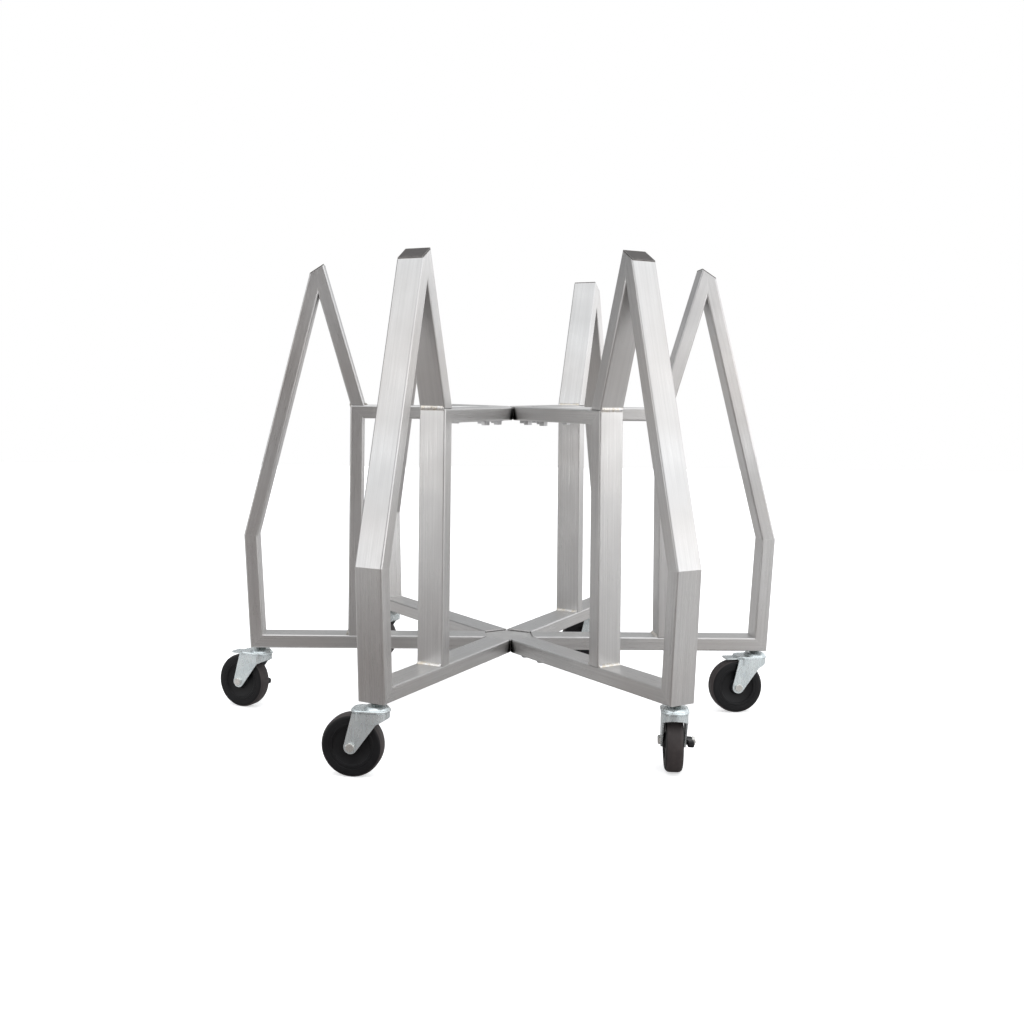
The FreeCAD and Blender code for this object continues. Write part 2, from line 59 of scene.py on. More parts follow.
# ---- heights and sizes read from the part ----
ARM_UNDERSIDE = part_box("lower_arm_1")[0].z
ARM_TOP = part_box("lower_arm_1")[1].z
SEAT_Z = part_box("inner_guides")[0].z
POST_INNER_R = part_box("inner_post_1")[0].x
POST_OUTER_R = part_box("inner_post_1")[1].x
TUBE_HALF_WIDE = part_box("inner_post_1")[1].y
FLOOR_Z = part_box("tyre_1")[0].z
ARM_END_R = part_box("lower_arm_1")[0].x

# ---- lean of each kind of tube from the vertical, outward at the top ----
POST_LEAN = math.radians(3.9)
OUTER_GUIDE_LEAN = math.radians(-13.5)
INNER_GUIDE_LEAN = math.radians(16.9)
GUIDE_SEAT_IN = 1.4 * MM            # the inner guide's foot starts this far inside the post's face

# ---- caster sizes, in the caster's own axes (x trails, y along the axle, z up from the arm) ----
TRAIL = 38 * MM
AXLE_Z = -70 * MM
LEG_OUTER_Y = 20 * MM
LEVER_GAP = 0.6 * MM
LEVER_THICK = 9.5 * MM
LEVER_ANGLES = {1: math.radians(172), 4: math.radians(186), 6: math.radians(172)}


# ---------------------------------------------------------------- node trees
class NodeBuilder:
    """Fills one node tree from empty, node by node."""

    def __init__(self, tree):
        self.tree = tree
        self.tree.nodes.clear()

    def feed(self, socket, value):
        """Links the socket when the value is another node's output, and sets it otherwise."""
        if isinstance(value, bpy.types.NodeSocket):
            self.tree.links.new(value, socket)
        else:
            socket.default_value = value

    def add(self, kind, sockets=None, **settings):
        node = self.tree.nodes.new(kind)
        for key, value in settings.items():
            setattr(node, key, value)
        for socket, value in (sockets or {}).items():
            self.feed(node.inputs[socket], value)
        return node

    def math(self, operation, a, b=0.0):
        return self.add("ShaderNodeMath", {0: a, 1: b}, operation=operation).outputs[0]

    def split(self, vector):
        return self.add("ShaderNodeSeparateXYZ", {0: vector}).outputs

    def fit(self, value, low, high, out_low, out_high, interpolation="LINEAR"):
        """Value from low..high mapped to out_low..out_high, clamped."""
        sockets = {0: value, 1: low, 2: high, 3: out_low, 4: out_high}
        return self.add("ShaderNodeMapRange", sockets, interpolation_type=interpolation).outputs[0]

    def camera_ray(self):
        """1 for rays straight from the camera, 0 for all others."""
        return self.add("ShaderNodeLightPath").outputs["Is Camera Ray"]


# ---------------------------------------------------------------- materials
MIX_COLOR_A, MIX_COLOR_B, MIX_COLOR_RESULT = 6, 7, 2     # the mix node's sockets for colours


def scaled(color, factor):
    return tuple(channel * factor for channel in color)


class Graph(NodeBuilder):
    """Builds one procedural material."""

    def __init__(self, name):
        self.material = bpy.data.materials.new(name)
        self.material.use_nodes = True
        super().__init__(self.material.node_tree)
        self.shader = self.add("ShaderNodeBsdfPrincipled")
        self.add("ShaderNodeOutputMaterial", {"Surface": self.shader.outputs[0]})
        self.place = self.add("ShaderNodeTexCoord").outputs["Object"]

    def set(self, socket, value):
        self.feed(self.shader.inputs[socket], value)

    def noise(self, place, scale, detail=3.0, rough=0.5):
        sockets = {"Vector": place, "Scale": scale, "Detail": detail, "Roughness": rough}
        return self.add("ShaderNodeTexNoise", sockets).outputs["Fac"]

    def stretched(self, place, scale):
        return self.add("ShaderNodeMapping", {"Vector": place, "Scale": scale}).outputs[0]

    def blend(self, factor, a, b):
        node = self.add("ShaderNodeMix", {"Factor": factor}, data_type="RGBA")
        for index, color in ((MIX_COLOR_A, a), (MIX_COLOR_B, b)):
            is_socket = isinstance(color, bpy.types.NodeSocket)
            self.feed(node.inputs[index], color if is_socket else (*color, 1))
        return node.outputs[MIX_COLOR_RESULT]

    def bump(self, height, distance, strength=1.0):
        sockets = {"Height": height, "Distance": distance, "Strength": strength}
        self.set("Normal", self.add("ShaderNodeBump", sockets).outputs[0])

    def edges(self, radius):
        """1 on sharp edges and 0 on open faces."""
        bevel = self.add("ShaderNodeBevel", {"Radius": radius}, samples=4).outputs[0]
        normal = self.add("ShaderNodeNewGeometry").outputs["Normal"]
        dot = self.add("ShaderNodeVectorMath", {0: bevel, 1: normal}, operation="DOT_PRODUCT")
        return self.fit(dot.outputs["Value"], 1.0, 0.9, 0.0, 1.0)


def frame_local(graph):
    """Object position turned into the nearest frame's own (radius, sideways, height)."""
    parts = graph.split(graph.place)
    angle = graph.math("ARCTAN2", parts[1], parts[0])
    shifted = graph.math("ADD", angle, FRAME_STEP / 2)
    frames_round = graph.math("FLOOR", graph.math("DIVIDE", shifted, FRAME_STEP))
    snapped = graph.math("MULTIPLY", frames_round, -FRAME_STEP)
    turned = graph.add("ShaderNodeVectorRotate", {"Vector": graph.place, "Angle": snapped},
                       rotation_type="Z_AXIS")
    return turned.outputs[0]


# Painted shade where two arms' sides meet at a hub, standing in for the dark these corners' faces reflect
# into each other.
SHADE_CORNER = (1.6 * MM, 0.6 * MM)  # in from the side face: where the shade starts and is full
SHADE_AT_TOP = 1.0 * MM             # how far along the arm it reaches at the top edge
SHADE_WIDENING = 0.42               # further reach for each length down the side
SHADE_FADE = (-2.0 * MM, 6.0 * MM)


def arm_end_shade(graph, local):
    """Painted shade on the arms' sides where two ends meet at a hub, broader toward their undersides."""
    radius, sideways, height = graph.split(local)
    sideways = graph.math("ABSOLUTE", sideways)
    starts, full = (TUBE_HALF_WIDE - inset for inset in SHADE_CORNER)
    on_side = graph.fit(sideways, starts, full, 0.0, 1.0)
    is_upper = graph.math("GREATER_THAN", height, (ARM_TOP + SEAT_Z) / 2)
    arm_top = graph.math("ADD", ARM_TOP, graph.math("MULTIPLY", is_upper, SEAT_Z - ARM_TOP))
    depth = graph.math("SUBTRACT", arm_top, height)
    reach = graph.math("ADD", ARM_END_R + SHADE_AT_TOP, graph.math("MULTIPLY", depth, SHADE_WIDENING))
    beyond = graph.math("SUBTRACT", radius, reach)
    return graph.math("MULTIPLY", on_side, graph.fit(beyond, *SHADE_FADE, 1.0, 0.0))


STEEL = (0.64, 0.635, 0.63)
STEEL_WARM = (0.60, 0.56, 0.53)
STEEL_WORN = (0.80, 0.79, 0.78)     # polished corners
# Colour of the painted shade in the corners where the arms meet at a hub.
PAINTED_HUB_CORNER_SHADE = (0.012, 0.010, 0.010)


def brushed_tube(name, lean=None):
    """Satin stainless, its grain running along the tube; lean None means a level arm."""
    g = Graph(name)
    local = frame_local(g)
    turn = math.radians(90) if lean is None else -lean
    along_z = g.add("ShaderNodeVectorRotate", {"Vector": local, "Angle": turn},
                    rotation_type="Y_AXIS").outputs[0]
    fine = g.noise(g.stretched(along_z, (2200, 2200, 16)), 1.0, 4.0, 0.6)
    coarse = g.noise(g.stretched(along_z, (420, 420, 4)), 1.0, 3.0, 0.55)
    cloud = g.noise(local, 9.0, 3.0, 0.5)
    warm = g.noise(local, 4.0, 2.0, 0.5)

    base = g.blend(g.fit(coarse, 0.3, 0.7, 0, 1), scaled(STEEL, 0.92), scaled(STEEL, 1.09))
    base = g.blend(g.fit(cloud, 0.35, 0.7, 0, 0.6), base, scaled(STEEL, 0.84))
    base = g.blend(g.fit(warm, 0.45, 0.7, 0, 0.35), base, STEEL_WARM)
    base = g.blend(g.math("MULTIPLY", g.edges(1.6 * MM), 0.45), base, STEEL_WORN)
    if lean is None:
        # Painted shade in the corners between the arms at the hubs.
        base = g.blend(arm_end_shade(g, local), base, PAINTED_HUB_CORNER_SHADE)
    g.set("Base Color", base)
    g.set("Metallic", 0.92)
    rough = g.fit(fine, 0.3, 0.7, 0.25, 0.40)
    rough = g.math("ADD", rough, g.fit(cloud, 0.3, 0.7, -0.03, 0.05))
    g.set("Roughness", rough)
    g.set("Anisotropic", 0.35)
    g.bump(g.math("ADD", g.math("MULTIPLY", coarse, 0.5), fine), 0.00008, 0.5)
    return g.material


def ground_cap():
    """End plates ground across the tube, darker than the brushed faces."""
    g = Graph("ground_cap_steel")
    local = frame_local(g)
    streak = g.noise(g.stretched(local, (900, 40, 900)), 1.0, 4.0)
    patch = g.noise(local, 60.0, 3.0)
    base = g.blend(g.fit(streak, 0.3, 0.7, 0, 1), (0.075, 0.070, 0.068), (0.15, 0.14, 0.135))
    base = g.blend(g.fit(patch, 0.5, 0.75, 0, 0.5), base, (0.20, 0.18, 0.17))
    base = g.blend(g.math("MULTIPLY", g.edges(1.2 * MM), 0.7), base, (0.66, 0.64, 0.62))
    g.set("Base Color", base)
    g.set("Metallic", 0.9)
    g.set("Roughness", g.fit(streak, 0.3, 0.7, 0.38, 0.55))
    g.bump(streak, 0.0001, 0.5)
    return g.material


def weld_metal():
    """Bright weld bead with straw and blue heat tint in patches."""
    g = Graph("weld_metal")
    patch = g.noise(g.place, 140.0, 3.0)
    fine = g.noise(g.place, 900.0, 3.0)
    base = g.blend(g.fit(patch, 0.35, 0.65, 0, 1), (0.80, 0.79, 0.78), (0.66, 0.60, 0.50))
    base = g.blend(g.fit(g.noise(g.place, 90.0, 2.0), 0.58, 0.75, 0, 0.6), base, (0.45, 0.47, 0.55))
    g.set("Base Color", base)
    g.set("Metallic", 0.95)
    g.set("Roughness", g.fit(fine, 0.3, 0.7, 0.18, 0.36))
    g.bump(fine, 0.0001, 0.4)
    return g.material


TOOL_MARKS = 5200.0                 # radians of the tool-mark wave in each metre of radius


def machined_hub():
    """Faced hub plate with fine rings about the centre axis."""
    g = Graph("machined_hub_steel")
    parts = g.split(g.place)
    flat = g.add("ShaderNodeCombineXYZ", {0: parts[0], 1: parts[1], 2: 0.0})
    radius = g.add("ShaderNodeVectorMath", {0: flat.outputs[0]}, operation="LENGTH").outputs["Value"]
    rings = g.math("SINE", g.math("MULTIPLY", radius, TOOL_MARKS))
    patch = g.noise(g.place, 45.0, 4.0)
    base = g.blend(g.fit(patch, 0.35, 0.7, 0, 1), (0.55, 0.54, 0.53), (0.66, 0.65, 0.64))
    base = g.blend(g.math("MULTIPLY", g.edges(1.0 * MM), 0.5), base, (0.75, 0.74, 0.72))
    g.set("Base Color", base)
    g.set("Metallic", 0.85)
    g.set("Roughness", g.fit(patch, 0.3, 0.7, 0.40, 0.58))
    g.bump(rings, 0.00004, 0.35)
    return g.material


def zinc_plate(name, light, dark, rough_low, rough_high, grain):
    """Bright zinc plating: faint spangle, drawn streaks and bare edges."""
    g = Graph(name)
    spangle = g.add("ShaderNodeTexVoronoi", {"Vector": g.place, "Scale": grain}).outputs["Color"]
    cell = g.split(spangle)[0]
    streak = g.noise(g.stretched(g.place, (300, 300, 40)), 1.0, 3.0)
    cloud = g.noise(g.place, 50.0, 3.0)
    base = g.blend(g.fit(cloud, 0.3, 0.7, 0, 1), dark, light)
    base = g.blend(g.math("MULTIPLY", cell, 0.10), base, scaled(light, 0.85))
    base = g.blend(g.math("MULTIPLY", g.edges(0.8 * MM), 0.5), base, (0.93, 0.94, 0.94))
    g.set("Base Color", base)
    g.set("Metallic", 0.80)
    g.set("Roughness", g.fit(streak, 0.3, 0.7, rough_low, rough_high))
    g.bump(g.math("ADD", streak, g.math("MULTIPLY", cell, 0.2)), 0.00003, 0.25)
    return g.material


def moulded(name, low, high, rough_low, rough_high, scale):
    """Rubber or plastic: fine grain, dusty patches and slightly polished edges."""
    g = Graph(name)
    fine = g.noise(g.place, scale, 4.0, 0.6)
    dust = g.noise(g.place, 38.0, 4.0, 0.6)
    base = g.blend(g.fit(dust, 0.4, 0.75, 0, 1), low, high)
    base = g.blend(g.math("MULTIPLY", g.edges(0.8 * MM), 0.35), base, scaled(high, 1.8))
    g.set("Base Color", base)
    g.set("Roughness", g.fit(dust, 0.3, 0.7, rough_low, rough_high))
    g.set("Specular IOR Level", 0.3)
    g.bump(fine, 0.0002, 0.25)
    return g.material


FLOOR_GLOW = 0.55                   # keeps the floor pale between the soft lights
FLOOR_DARK = (0.25, 0.225, 0.215)   # reflected from a band in front of the dolly
FLOOR_LIGHT = (0.60, 0.585, 0.575)  # reflected from the rest
FLOOR_DARK_X = -0.45                # middle of the dark band
FLOOR_DARK_HALF = (0.5, 1.2)        # from its middle: full to here, gone from there
FLOOR_DARK_BACK = (-0.6, -0.1)      # its back edge: full to here, gone from there


def pale_floor():
    """White to the camera, grey in reflections so that the steel keeps its contrast."""
    g = Graph("pale_floor")
    cloud = g.noise(g.place, 1.5, 3.0)
    seen = g.camera_ray()
    white = g.blend(g.fit(cloud, 0.3, 0.7, 0, 1), (0.93, 0.93, 0.93), (0.955, 0.955, 0.955))
    parts = g.split(g.place)
    from_middle = g.math("ABSOLUTE", g.math("SUBTRACT", parts[0], FLOOR_DARK_X))
    aside = g.fit(from_middle, *FLOOR_DARK_HALF, 0.0, 1.0)
    behind = g.fit(parts[1], *FLOOR_DARK_BACK, 0.0, 1.0)
    reflected = g.blend(g.math("MAXIMUM", aside, behind), FLOOR_DARK, FLOOR_LIGHT)
    g.set("Base Color", g.blend(seen, reflected, white))
    g.set("Roughness", 0.9)
    g.set("Emission Color", (1, 1, 1, 1))
    g.set("Emission Strength", g.math("MULTIPLY", seen, FLOOR_GLOW))
    return g.material


MATERIALS = {
    "arm": brushed_tube("brushed_arm"),
    "outer_post": brushed_tube("brushed_outer_post", POST_LEAN),
    "inner_post": brushed_tube("brushed_inner_post", 0.0),
    "outer_guide": brushed_tube("brushed_outer_guide", OUTER_GUIDE_LEAN),
    "inner_guide": brushed_tube("brushed_inner_guide", INNER_GUIDE_LEAN),
    "cap": ground_cap(),
    "weld": weld_metal(),
    "hub": machined_hub(),
    "bolt": zinc_plate("bolt_zinc", (0.62, 0.62, 0.62), (0.40, 0.40, 0.41), 0.28, 0.45, 700),
    "fork": zinc_plate("fork_zinc", (0.86, 0.92, 0.93), (0.74, 0.81, 0.83), 0.22, 0.34, 260),
    "axle": zinc_plate("axle_zinc", (0.84, 0.83, 0.80), (0.64, 0.63, 0.60), 0.20, 0.34, 500),
    "stem": zinc_plate("stem_dark_plate", (0.22, 0.26, 0.25), (0.08, 0.10, 0.10), 0.25, 0.42, 600),
    "tyre": moulded("tyre_side_rubber", (0.005, 0.005, 0.006), (0.009, 0.009, 0.010), 0.42, 0.6, 900),
    "tread": moulded("tyre_tread_rubber", (0.052, 0.044, 0.044), (0.080, 0.069, 0.067), 0.45, 0.65, 900),
    "core": moulded("core_plastic", (0.004, 0.004, 0.005), (0.008, 0.008, 0.009), 0.38, 0.5, 700),
    "lever": moulded("lever_plastic", (0.006, 0.006, 0.007), (0.014, 0.014, 0.016), 0.30, 0.45, 700),
}


# ---------------------------------------------------------------- mesh helpers
def mesh_piece(name, build, material, smooth_angle=35):
    """Object from a bmesh builder, with smooth shading broken at edges over the angle."""
    mesh = bmesh.new()
    build(mesh)
    bmesh.ops.recalc_face_normals(mesh, faces=mesh.faces[:])
    data = bpy.data.meshes.new(name)
    mesh.to_mesh(data)
    mesh.free()
    data.materials.append(material)
    piece = bpy.data.objects.new(name, data)
    bpy.context.scene.collection.objects.link(piece)
    for polygon in data.polygons:
        polygon.use_smooth = True
    bpy.context.view_layer.objects.active = piece
    piece.select_set(True)
    bpy.ops.object.shade_smooth_by_angle(angle=math.radians(smooth_angle))
    piece.select_set(False)
    return piece


def grid(mesh, rings, closed_rings=True, closed_ends=True, cap_ends=False):
    """Quads between rings of points; optionally joined round, end to end, or capped."""
    rows = [[mesh.verts.new(p) for p in ring] for ring in rings]
    count = len(rows[0])
    pairs = list(zip(rows, rows[1:]))
    if closed_ends:
        pairs.append((rows[-1], rows[0]))
    steps = count if closed_rings else count - 1
    for first, second in pairs:
        for i in range(steps):
            j = (i + 1) % count
            mesh.faces.new((first[i], first[j], second[j], second[i]))
    if cap_ends:
        mesh.faces.new(rows[0])
        mesh.faces.new(list(reversed(rows[-1])))


def lathe(mesh, profile, place, segments=96):
    """Closed (radius, along) profile turned about place's z axis."""
    rings = []
    for i in range(segments):
        angle = 2 * math.pi * i / segments
        c, s = math.cos(angle), math.sin(angle)
        rings.append([place @ Vector((r * c, r * s, z)) for r, z in profile])
    grid(mesh, rings)


def frame_turn(number):
    """Turn from frame 1's place to another frame's."""
    return Matrix.Rotation(FRAME_STEP * (number - 1), 4, "Z")


def caster_axes(number):
    """Matrix from the caster's own axes to the part's frame, read from the caster's joints."""
    stem = Vector(JOINTS[f"swivel_turn_{number}"]["pos_m"])
    axle = Vector(JOINTS[f"wheel_roll_{number}"]["pos_m"])
    trail = Vector((axle.x - stem.x, axle.y - stem.y, 0)).normalized()
    side = Vector(JOINTS[f"wheel_roll_{number}"]["axis"]).normalized()
    axes = Matrix((trail, side, Vector((0, 0, 1)))).transposed().to_4x4()
    axes.translation = Vector((stem.x, stem.y, ARM_UNDERSIDE))
    return axes


def axle_axes(number):
    """Matrix whose z runs along the axle and whose origin is the wheel's centre."""
    return caster_axes(number) @ Matrix.Translation((TRAIL, 0, AXLE_Z)) @ Matrix.Rotation(
        math.radians(-90), 4, "X")


# ---------------------------------------------------------------- weld beads
BEAD_PITCH = 2.6 * MM               # between ripples
BEAD_LEG = 4 * MM
BEAD_END_IN = 2.5 * MM              # the bead stops this far short of the tube's corners
BEAD_TAPER = 1.5 * MM               # length over which each end thins out
BEAD_TAPER_LEFT = 0.15              # of the bulge left at the very end
BEAD_STEPS = 90                     # along the bead
BEAD_ARC_STEPS = 7                  # over its crest
RIPPLE_LOW = 0.72                   # crest height between ripples, of the bulge
RIPPLE_RISE = 0.34                  # more than that on a ripple
WANDER_KEPT = 0.8                   # how much of the crest's wander carries to the next step
WANDER_STEP = 0.04
FILLET_BULGE = 0.8 * MM
EDGE_BULGE = 1.3 * MM               # the bead over the guide's outer foot
EDGE_ROOT_IN = 0.6 * MM             # its root lies this far inside the post's face
FLAT_SUM = 0.3 * MM                 # start and end this nearly opposite mean no corner to fill


def bead_strip(mesh, turn, corner, start, end, bulge):
    """Rippled bead across the tube, filling the corner between start and end."""
    half = TUBE_HALF_WIDE - BEAD_END_IN
    chord = end - start
    outward = Vector((-chord.z, 0, chord.x)).normalized()
    if outward.dot((start + end) / 2 - corner) < 0:
        outward = -outward
    if (start + end - 2 * corner).length < FLAT_SUM:
        outward = Vector((1, 0, 0))
    rings = []
    wander = 0.0
    for i in range(BEAD_STEPS + 1):
        y = -half + 2 * half * i / BEAD_STEPS
        phase = (y / BEAD_PITCH) % 1.0
        ripple = RIPPLE_LOW + RIPPLE_RISE * math.sin(math.pi * phase) ** 0.6
        wander = WANDER_KEPT * wander + random.uniform(-WANDER_STEP, WANDER_STEP)
        fade = min(1.0, (half - abs(y)) / BEAD_TAPER + BEAD_TAPER_LEFT)
        height = bulge * (ripple + wander) * fade
        ring = [turn @ Vector((corner.x, y, corner.z))]
        for k in range(BEAD_ARC_STEPS + 1):
            t = k / BEAD_ARC_STEPS
            point = start.lerp(end, t) + outward * height * math.sin(math.pi * t)
            ring.append(turn @ Vector((point.x, y, point.z)))
        rings.append(ring)
    grid(mesh, rings, closed_ends=False, cap_ends=True)


def weld_beads(mesh):
    """Beads at both sides of each inner post's foot and of each inner guide's foot."""
    up_guide = Vector((math.sin(INNER_GUIDE_LEAN), 0, math.cos(INNER_GUIDE_LEAN)))
    seat_in = Vector((POST_INNER_R - GUIDE_SEAT_IN, 0, SEAT_Z))
    thin = POST_OUTER_R - POST_INNER_R
    seat_out = seat_in + Vector((thin / math.cos(INNER_GUIDE_LEAN), 0, 0))
    edge = Vector((POST_OUTER_R, 0, SEAT_Z))
    for number in range(1, FRAME_COUNT + 1):
        turn = frame_turn(number)
        for radius, side in ((POST_INNER_R, -1), (POST_OUTER_R, 1)):
            corner = Vector((radius, 0, ARM_TOP))
            along = corner + Vector((side * BEAD_LEG, 0, 0))
            up = corner + Vector((0, 0, BEAD_LEG))
            bead_strip(mesh, turn, corner, along, up, FILLET_BULGE)
        along = seat_in - Vector((BEAD_LEG, 0, 0))
        bead_strip(mesh, turn, seat_in, along, seat_in + up_guide * BEAD_LEG, FILLET_BULGE)
        below = edge - Vector((0, 0, BEAD_LEG))
        root = edge - Vector((EDGE_ROOT_IN, 0, 0))
        bead_strip(mesh, turn, root, below, seat_out + up_guide * BEAD_LEG, EDGE_BULGE)


# ---------------------------------------------------------------- casters
STEM_R = 6.35 * MM
THREAD_PITCH = 1.95 * MM
THREAD_DEPTH = 0.95 * MM
THREAD_BOTTOM = -5.5 * MM           # inside the collar
THREAD_TOP = 16 * MM
THREAD_ROWS = 125
THREAD_AROUND = 40


def threaded_stem(mesh, place):
    """Helical thread from the collar up into the tube."""
    rings = []
    for i in range(THREAD_ROWS + 1):
        z = THREAD_BOTTOM + (THREAD_TOP - THREAD_BOTTOM) * i / THREAD_ROWS
        is_end = i in (0, THREAD_ROWS)
        ring = []
        for k in range(THREAD_AROUND):
            angle = 2 * math.pi * k / THREAD_AROUND
            phase = (z / THREAD_PITCH - k / THREAD_AROUND) % 1.0
            depth = THREAD_DEPTH if is_end else THREAD_DEPTH * (1 - abs(2 * phase - 1))
            radius = STEM_R - depth
            ring.append(place @ Vector((radius * math.cos(angle), radius * math.sin(angle), z)))
        rings.append(ring)
    grid(mesh, rings, closed_ends=False, cap_ends=True)


def stem_profile():
    """Riveted head under the crown, plain shank in it, and collar under the arm, in (radius, height)."""
    head = [(0, -21.4), (8.2, -21.4), (9, -20.8), (9, -18.6), (8.6, -18.05)]
    shank = [(6.35, -18.05), (6.35, -5.95)]
    collar = [(8.6, -5.95), (9, -5.6), (9, -4.4), (8.6, -3.95), (0, -3.95)]
    return in_metres(head + shank + collar)


def caster_stems(mesh):
    for number in range(1, FRAME_COUNT + 1):
        place = caster_axes(number)
        lathe(mesh, stem_profile(), place, 48)
        threaded_stem(mesh, place)


# Outlines of the wheel and lever are in millimetres.
TYRE_BORE_R = 34.0
TYRE_OUTER_R = 50.0
TYRE_HALF_WIDE = 14.0
TYRE_ROUND_R = 7.0                  # of the shoulder between side and tread
TREAD_CROWN_Y = 0.3                 # half of the flat left in the tread's middle
BORE_EDGE_IN = 0.2                  # the tyre's side steps in by this beside the core
GROOVE_IN = 0.6                     # and by this in the fine groove outside it
LEVER_BOSS_R = 6.8
LEVER_REACH = 42
LEVER_PAD_X = 37                    # the pad is broadest here
RIB_PLACES = (29, 32, 35, 38)       # grip ribs across the pad
RIB_HALF_LONG = 3.6
# The lever's section through its thickness: (in from the outline, depth from its inner face).
LEVER_THICK_MM = LEVER_THICK / MM
LEVER_CHAMFER = ((0.8, 0), (0, 0.8), (0, LEVER_THICK_MM - 1.2), (0.4, LEVER_THICK_MM - 0.5),
                 (1.2, LEVER_THICK_MM))


def in_metres(outline):
    return [(x * MM, y * MM) for x, y in outline]


def arc(centre_x, centre_y, radius, start, end, steps):
    """Points round a centre between two angles in degrees."""
    points = []
    for i in range(steps + 1):
        angle = math.radians(start + (end - start) * i / steps)
        points.append((centre_x + radius * math.cos(angle), centre_y + radius * math.sin(angle)))
    return points


def tyre_profile():
    """Outline of the tyre round its bore, sides and tread; a fine step marks the core's rim."""
    bore_edge = TYRE_HALF_WIDE - BORE_EDGE_IN
    groove = TYRE_HALF_WIDE - GROOVE_IN
    side = [(TYRE_BORE_R, 0), (TYRE_BORE_R, bore_edge), (35.4, bore_edge), (35.9, groove), (36.6, groove),
            (37.1, TYRE_HALF_WIDE)]
    side += arc(TYRE_OUTER_R - TYRE_ROUND_R, TYRE_HALF_WIDE - TYRE_ROUND_R, TYRE_ROUND_R, 90, 0, 12)
    side += [(TYRE_OUTER_R, TREAD_CROWN_Y)]
    mirrored = [(r, -y) for r, y in reversed(side)]
    return in_metres(side + mirrored[:-1])


def core_profile():
    """Hub, shallow web and rim lip of the wheel's core."""
    hub = [(6.4, 16.7), (12.2, 16.7), (13.0, 16.1), (13.8, 12.4)]
    web = [(15.2, 11.0), (29.6, 11.0)]
    rim = [(30.6, 11.6), (31.2, 13.1), (31.8, 13.5), (33.95, 13.5)]
    side = hub + web + rim
    mirrored = [(r, -y) for r, y in reversed(side)]
    return in_metres(side + mirrored)


def lever_outline():
    """Side view of a brake lever: round boss, waisted arm, broader foot pad at the tip."""
    lower = [(12, -4.4), (22, -4.4), (32, -5.2), (LEVER_PAD_X, -5.5), (40.6, -4.6), (LEVER_REACH, -2.8)]
    upper = [(x, -y) for x, y in reversed(lower)]
    return arc(0, 0, LEVER_BOSS_R, 50, 310, 18) + lower + upper


def brake_lever(mesh, number):
    """Lever with a chamfered rim, a raised boss ring and grip ribs across its pad."""
    place = axle_axes(number) @ Matrix.Translation((0, 0, -(LEG_OUTER_Y + LEVER_GAP)))
    # The axle axes' y points down, so an angle up from the trail direction turns the other way.
    place = place @ Matrix.Rotation(-LEVER_ANGLES[number], 4, "Z")
    rings = []
    for inset, depth in LEVER_CHAMFER:
        ring = []
        for x, y in lever_outline():
            centre_x = min(max(x, 0), LEVER_PAD_X)
            away = Vector((x - centre_x, y, 0))
            away = away.normalized() * inset if away.length else away
            ring.append(place @ Vector(((x - away.x) * MM, (y - away.y) * MM, -depth * MM)))
        rings.append(ring)
    grid(mesh, rings, closed_ends=False, cap_ends=True)
    outer_face = -LEVER_THICK_MM
    rib_root, rib_crest = outer_face + 0.6, outer_face - 0.3
    section = [(-0.7, rib_root), (0.7, rib_root), (0.4, rib_crest), (-0.4, rib_crest)]
    for x in RIB_PLACES:
        ribs = [[place @ Vector(((x + dx) * MM, y * MM, z * MM)) for dx, z in section]
                for y in (-RIB_HALF_LONG, RIB_HALF_LONG)]
        grid(mesh, ribs, closed_ends=False, cap_ends=True)
    ring_root, ring_crest = outer_face + 0.4, outer_face - 0.2
    boss_ring = [(4.1, ring_root), (5.6, ring_root), (5.4, ring_crest), (4.2, ring_crest)]
    lathe(mesh, in_metres(boss_ring), place, 40)


TREAD_R = 47.4 * MM                 # the tyre is worn to its paler tread beyond this radius


def stands_for(piece, node, body):
    """Puts a new piece in the place of one CAD node, on that node's body."""
    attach(piece, body)
    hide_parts(node)


def add_tyre(number):
    place = axle_axes(number)
    tyre = mesh_piece(
        f"tyre_moulded_{number}", lambda mesh: lathe(mesh, tyre_profile(), place, 128), MATERIALS["tyre"]
    )
    stands_for(tyre, f"tyre_{number}", f"wheel_{number}")
    tyre.data.materials.append(MATERIALS["tread"])
    inward = place.inverted()
    for polygon in tyre.data.polygons:
        if (inward @ polygon.center).to_2d().length > TREAD_R:
            polygon.material_index = 1


def add_core(number):
    place = axle_axes(number)
    core = mesh_piece(
        f"wheel_core_moulded_{number}", lambda mesh: lathe(mesh, core_profile(), place), MATERIALS["core"]
    )
    stands_for(core, f"wheel_core_{number}", f"wheel_{number}")


def add_lever(number):
    lever = mesh_piece(
        f"brake_lever_shaped_{number}", lambda mesh: brake_lever(mesh, number), MATERIALS["lever"], 30
    )
    stands_for(lever, f"brake_lever_{number}", f"brake_{number}")


def add_casters():
    stems = mesh_piece("caster_stems_threaded", caster_stems, MATERIALS["stem"])
    stands_for(stems, "caster_stems", "frame")
    for number in range(1, FRAME_COUNT + 1):
        add_tyre(number)
        add_core(number)
    for number in LEVER_ANGLES:
        add_lever(number)


# ---------------------------------------------------------------- finish of the CAD pieces
def dress(node, material):
    """Gives a CAD piece one of the materials above."""
    data = NODES[node].data
    for index in range(len(data.materials)):
        data.materials[index] = MATERIALS[material]


def dress_frame():
    for number in range(1, FRAME_COUNT + 1):
        dress(f"lower_arm_{number}", "arm")
        dress(f"upper_arm_{number}", "arm")
        dress(f"outer_post_{number}", "outer_post")
        dress(f"inner_post_{number}", "inner_post")
        dress(f"fork_{number}", "fork")
        dress(f"axle_{number}", "axle")
    dress("outer_guides", "outer_guide")
    dress("inner_guides", "inner_guide")
    dress("apex_caps", "cap")
    dress("hub_lower", "hub")
    dress("hub_upper", "hub")
    dress("hub_bolts", "bolt")
    dress("stem_nuts", "bolt")


# ---------------------------------------------------------------- floor, light and camera
FLOOR_SIZE = 14


